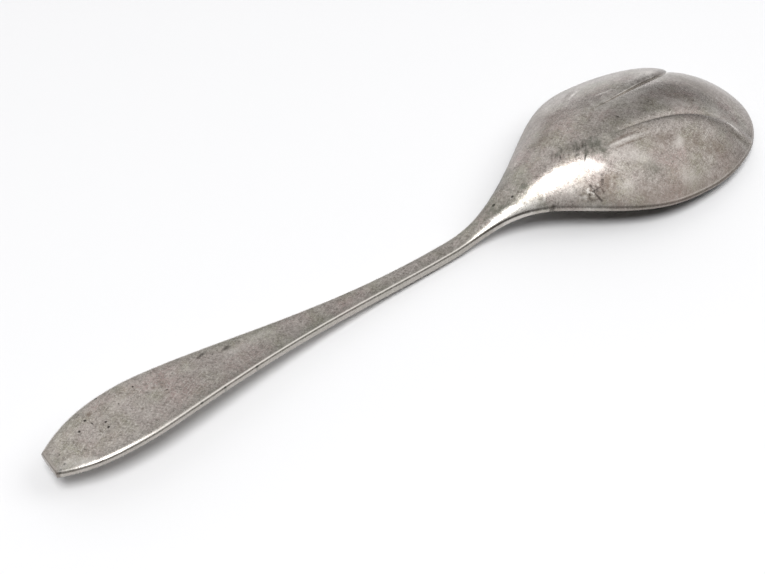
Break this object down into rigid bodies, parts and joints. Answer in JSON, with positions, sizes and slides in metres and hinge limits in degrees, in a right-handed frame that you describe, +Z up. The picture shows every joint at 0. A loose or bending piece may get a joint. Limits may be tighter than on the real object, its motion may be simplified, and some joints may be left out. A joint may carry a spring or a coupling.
{
  "type": "sugar spoon",
  "caption": "Worn silver-plated sugar spoon lying back up, with a fluted shell bowl soldered to a slim tapered handle, for serving sugar.",
  "frame": {"origin": "bottom centre of the bounding box, on the table that the spoon lies on face down", "axes": "+X from the square end of the handle to the tip of the bowl, +Y across the spoon, +Z up from the table through the back of the bowl"},
  "size_m": [0.15, 0.0356, 0.0139],
  "materials": {
    "handle_silver": "worn satin silver plate with fine scratches, spots and a bright bevelled margin",
    "bowl_silver": "worn silver plate, polished on the heel, dull and tarnished in the creases"
  },
  "bodies": {
    "root": {"handle": "handle_silver", "bowl": "bowl_silver"}
  },
  "joints": []
}
